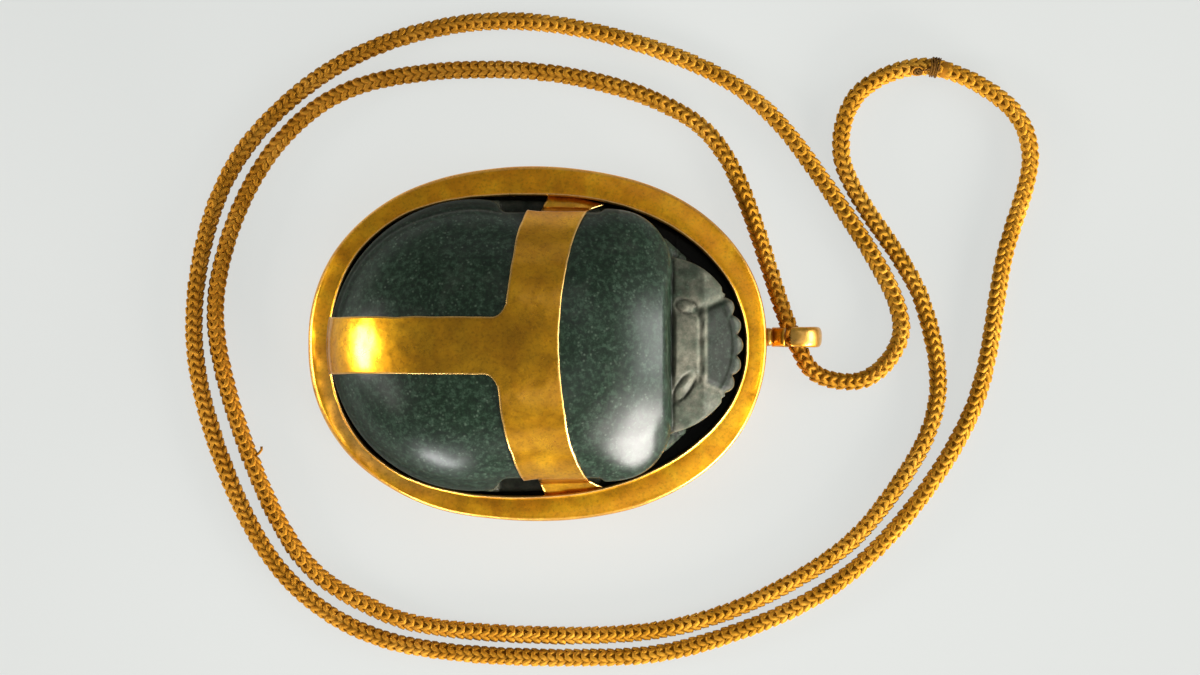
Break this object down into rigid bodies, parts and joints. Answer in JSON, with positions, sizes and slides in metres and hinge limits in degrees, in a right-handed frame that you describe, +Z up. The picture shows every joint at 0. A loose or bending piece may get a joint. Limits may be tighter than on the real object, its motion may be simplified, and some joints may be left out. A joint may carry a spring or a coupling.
{
  "type": "scarab amulet",
  "caption": "Dark green stone heart scarab in a gold mount, with a gold T-shaped strap over its back, a suspension ring and a plaited gold chain.",
  "frame": {"origin": "centre of the flat underside of the gold mount", "axes": "+X towards the scarab's head and the suspension ring, +Y to the scarab's left, +Z up out of its back"},
  "size_m": [0.1273, 0.0979, 0.0284],
  "materials": {
    "green_stone": "polished, finely mottled dark green serpentinite, worn",
    "mount_gold": "worn gold sheet, softly burnished",
    "strap_gold": "hammered gold sheet with fine pits",
    "ring_gold": "burnished gold",
    "chain_gold": "plaited gold wire, brown in the hollows",
    "tie_thread": "dark waxed thread"
  },
  "bodies": {
    "root": {"scarab_stone": "green_stone", "gold_mount": "mount_gold", "t_strap": "strap_gold", "suspension_ring": "ring_gold", "chain": "chain_gold", "chain_tie": "tie_thread"}
  },
  "joints": []
}
